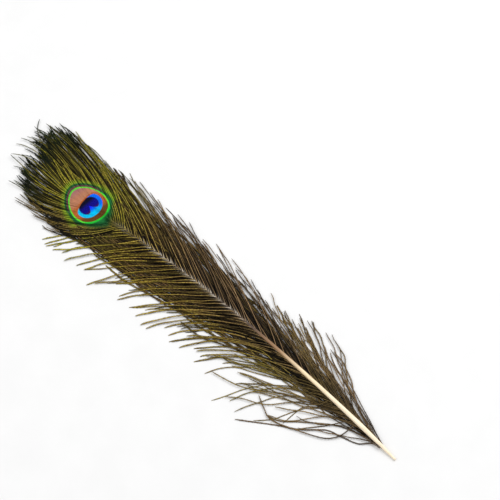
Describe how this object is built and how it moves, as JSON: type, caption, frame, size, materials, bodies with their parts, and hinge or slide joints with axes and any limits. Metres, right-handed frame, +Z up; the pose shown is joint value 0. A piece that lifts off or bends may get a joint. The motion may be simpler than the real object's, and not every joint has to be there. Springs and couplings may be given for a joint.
{
  "type": "peacock feather",
  "caption": "Peacock train feather lying eye side up: tapering shaft, loose olive barbs, long wiry base barbs and a dense eye with a fringe.",
  "frame": {"origin": "middle of the underside of the feather's box, on the surface that it lies on", "axes": "+X along the feather from the quill towards the eye, +Y towards its left side seen from above, +Z up out of the eye side"},
  "size_m": [0.2992, 0.0736, 0.0046],
  "materials": {
    "shaft_keratin": "smooth horny keratin, ivory at the quill turning tan and brown towards the eye",
    "vane_barbs": "fine ribbed barbs, olive gold over dark brown, with a soft metallic sheen",
    "eye_barbs": "dense iridescent barbs: navy, blue, copper and green rings, olive fringe with dark green tips",
    "base_barbs": "thin wiry barbs, dark brown, slightly glossy"
  },
  "bodies": {
    "root": {"shaft": "shaft_keratin", "left_vane": "vane_barbs", "right_vane": "vane_barbs", "left_eye_vane": "eye_barbs", "right_eye_vane": "eye_barbs", "left_base_barb_01": "base_barbs", "left_base_barb_02": "base_barbs", "left_base_barb_03": "base_barbs", "left_base_barb_04": "base_barbs", "left_base_barb_05": "base_barbs", "left_base_barb_06": "base_barbs", "left_base_barb_07": "base_barbs", "left_base_barb_08": "base_barbs", "left_base_barb_09": "base_barbs", "left_base_barb_10": "base_barbs", "left_base_barb_11": "base_barbs", "left_base_barb_12": "base_barbs", "left_base_barb_13": "base_barbs", "right_base_barb_01": "base_barbs", "right_base_barb_02": "base_barbs", "right_base_barb_03": "base_barbs", "right_base_barb_04": "base_barbs", "right_base_barb_05": "base_barbs", "right_base_barb_06": "base_barbs", "right_base_barb_07": "base_barbs", "right_base_barb_08": "base_barbs", "right_base_barb_09": "base_barbs", "right_base_barb_10": "base_barbs", "right_base_barb_11": "base_barbs", "right_base_barb_12": "base_barbs", "right_base_barb_13": "base_barbs"}
  },
  "joints": []
}
